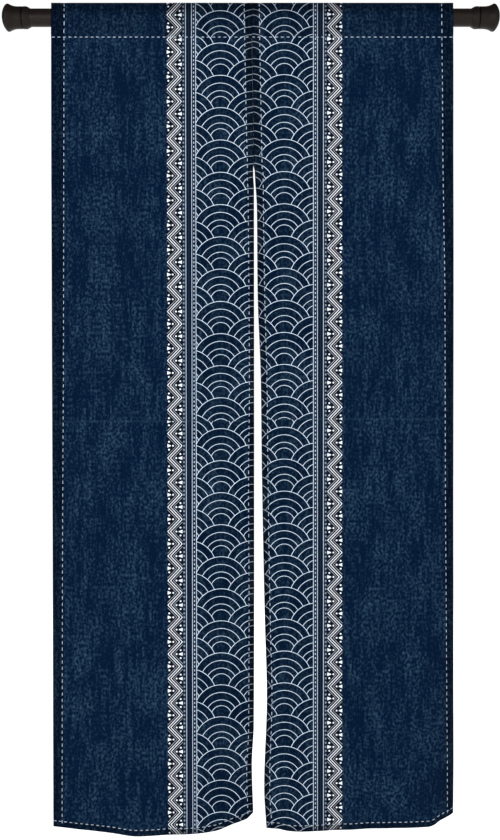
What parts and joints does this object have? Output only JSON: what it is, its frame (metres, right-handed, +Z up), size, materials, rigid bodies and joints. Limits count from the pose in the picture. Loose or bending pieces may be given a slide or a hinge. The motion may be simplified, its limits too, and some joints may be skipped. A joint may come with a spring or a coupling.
{
  "type": "noren curtain with tension rod",
  "caption": "Split doorway curtain of printed indigo cloth, threaded by its top pocket on a round bronze rod with flared end feet.",
  "frame": {"origin": "centre of the left foot's flat pad, on the rod's axis", "axes": "+X along the rod towards the right foot, +Y from the printed front towards the back, +Z up, against the way the cloth hangs"},
  "size_m": [1.065, 0.0898, 1.7794],
  "materials": {
    "cloth": "printed indigo plain weave, matt, with pale blue-white wave, zigzag and line print and pale running stitches",
    "rod": "dark bronze lacquer, satin",
    "moulding": "dark bronze moulded plastic, satin-matt"
  },
  "bodies": {
    "root": {"panel_left": "cloth", "panel_right": "cloth", "rod_tube": "rod", "foot_left": "moulding", "foot_right": "moulding", "collar_left": "moulding", "collar_right": "moulding"}
  },
  "joints": []
}
